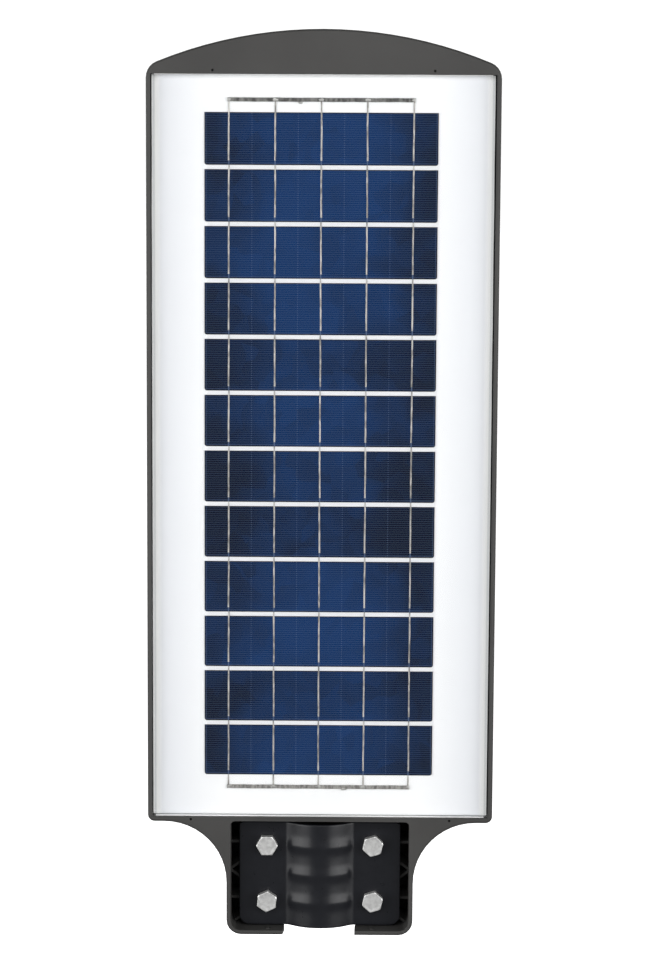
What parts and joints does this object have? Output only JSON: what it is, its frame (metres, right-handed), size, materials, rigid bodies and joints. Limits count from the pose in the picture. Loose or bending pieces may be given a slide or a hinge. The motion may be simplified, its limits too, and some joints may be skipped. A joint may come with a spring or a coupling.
{
  "type": "solar street lamp",
  "caption": "All-in-one solar street lamp head: solar panel let into the top, square LED modules under it, motion sensor, push button and a bolted pole clamp.",
  "frame": {"origin": "on the pole's axis, at the lamp's pole end", "axes": "+Z from the pole end to the nose, -Y out of the solar panel, +X to the right of someone who looks at the panel"},
  "size_m": [0.2378, 0.05, 0.6208],
  "materials": {
    "housing": "fine-textured moulded ABS, warm dark grey",
    "clamp": "satin black glass-filled nylon",
    "steel": "bright zinc-plated steel",
    "glass": "low-iron tempered cover glass",
    "backsheet": "white laminated backsheet",
    "solar_cell": "multicrystalline silicon, blue antireflection coat with fine printed fingers",
    "ribbon": "solder-dipped copper ribbon, dull",
    "lens": "clear moulded polycarbonate lens array",
    "led_board": "aluminium-core circuit board with white solder mask",
    "circuit_board": "green glass-epoxy circuit board",
    "black_plastic": "black moulded plastic",
    "seal": "dark silicone sealing strip",
    "battery": "lithium iron phosphate cell in a shrink sleeve",
    "sensor_dome": "milky polyethylene Fresnel dome",
    "indicator": "translucent light pipe",
    "button": "soft silicone button cap"
  },
  "bodies": {
    "root": {"housing": "housing", "panel_seal": "seal", "panel_glass": "glass", "panel_backsheet": "backsheet", "top_bus_ribbon": "ribbon", "bottom_bus_ribbon": "ribbon", "junction_box": "black_plastic", "battery_holder": "black_plastic", "controller_board": "circuit_board", "sensor_board": "circuit_board", "sensor_dome": "sensor_dome", "switch_body": "black_plastic", "indicator_lens": "indicator", "solar_cell_01": "solar_cell", "solar_cell_02": "solar_cell", "solar_cell_03": "solar_cell", "solar_cell_04": "solar_cell", "solar_cell_05": "solar_cell", "solar_cell_06": "solar_cell", "solar_cell_07": "solar_cell", "solar_cell_08": "solar_cell", "solar_cell_09": "solar_cell", "solar_cell_10": "solar_cell", "solar_cell_11": "solar_cell", "solar_cell_12": "solar_cell", "tab_ribbon_1": "ribbon", "tab_ribbon_2": "ribbon", "tab_ribbon_3": "ribbon", "tab_ribbon_4": "ribbon", "tab_ribbon_5": "ribbon", "led_board_1": "led_board", "led_board_2": "led_board", "led_board_3": "led_board", "lens_plate_1": "lens", "lens_plate_2": "lens", "lens_plate_3": "lens", "lens_screw_1": "steel", "lens_screw_2": "steel", "lens_screw_3": "steel", "lens_screw_4": "steel", "lens_screw_5": "steel", "lens_screw_6": "steel", "battery_cell_1": "battery", "battery_cell_2": "battery", "battery_cell_3": "battery", "battery_cell_4": "battery", "clamp_nut_1": "steel", "clamp_nut_2": "steel", "clamp_nut_3": "steel", "clamp_nut_4": "steel"},
    "clamp": {"clamp_plate": "clamp"},
    "bolt_1": {"clamp_bolt_1": "steel"},
    "bolt_2": {"clamp_bolt_2": "steel"},
    "bolt_3": {"clamp_bolt_3": "steel"},
    "bolt_4": {"clamp_bolt_4": "steel"},
    "button": {"button_cap": "button"}
  },
  "joints": [
    {"name": "clamp_slide", "type": "slide", "parent": "root", "child": "clamp", "axis": [0, -1, 0], "range_m": [0, 0.0105]},
    {"name": "bolt_1_turn", "type": "hinge", "parent": "clamp", "child": "bolt_1", "pos_m": [-0.03675, -0.0093, 0.0618], "axis": [0, -1, 0], "range_deg": [0, 3024.1]},
    {"name": "bolt_2_turn", "type": "hinge", "parent": "clamp", "child": "bolt_2", "pos_m": [-0.03675, -0.0093, 0.022], "axis": [0, -1, 0], "range_deg": [0, 3024.1]},
    {"name": "bolt_3_turn", "type": "hinge", "parent": "clamp", "child": "bolt_3", "pos_m": [0.03675, -0.0093, 0.0618], "axis": [0, -1, 0], "range_deg": [0, 3024.1]},
    {"name": "bolt_4_turn", "type": "hinge", "parent": "clamp", "child": "bolt_4", "pos_m": [0.03675, -0.0093, 0.022], "axis": [0, -1, 0], "range_deg": [0, 3024.1]},
    {"name": "button_press", "type": "slide", "parent": "root", "child": "button", "axis": [0, -1, 0], "range_m": [0, 0.0015], "stiffness_N_per_m": 800}
  ],
  "couplings": [
    {"joint": "bolt_1_turn", "follows": "clamp_slide", "rad_per_m": 5026.5},
    {"joint": "bolt_2_turn", "follows": "clamp_slide", "rad_per_m": 5026.5},
    {"joint": "bolt_3_turn", "follows": "clamp_slide", "rad_per_m": 5026.5},
    {"joint": "bolt_4_turn", "follows": "clamp_slide", "rad_per_m": 5026.5}
  ]
}
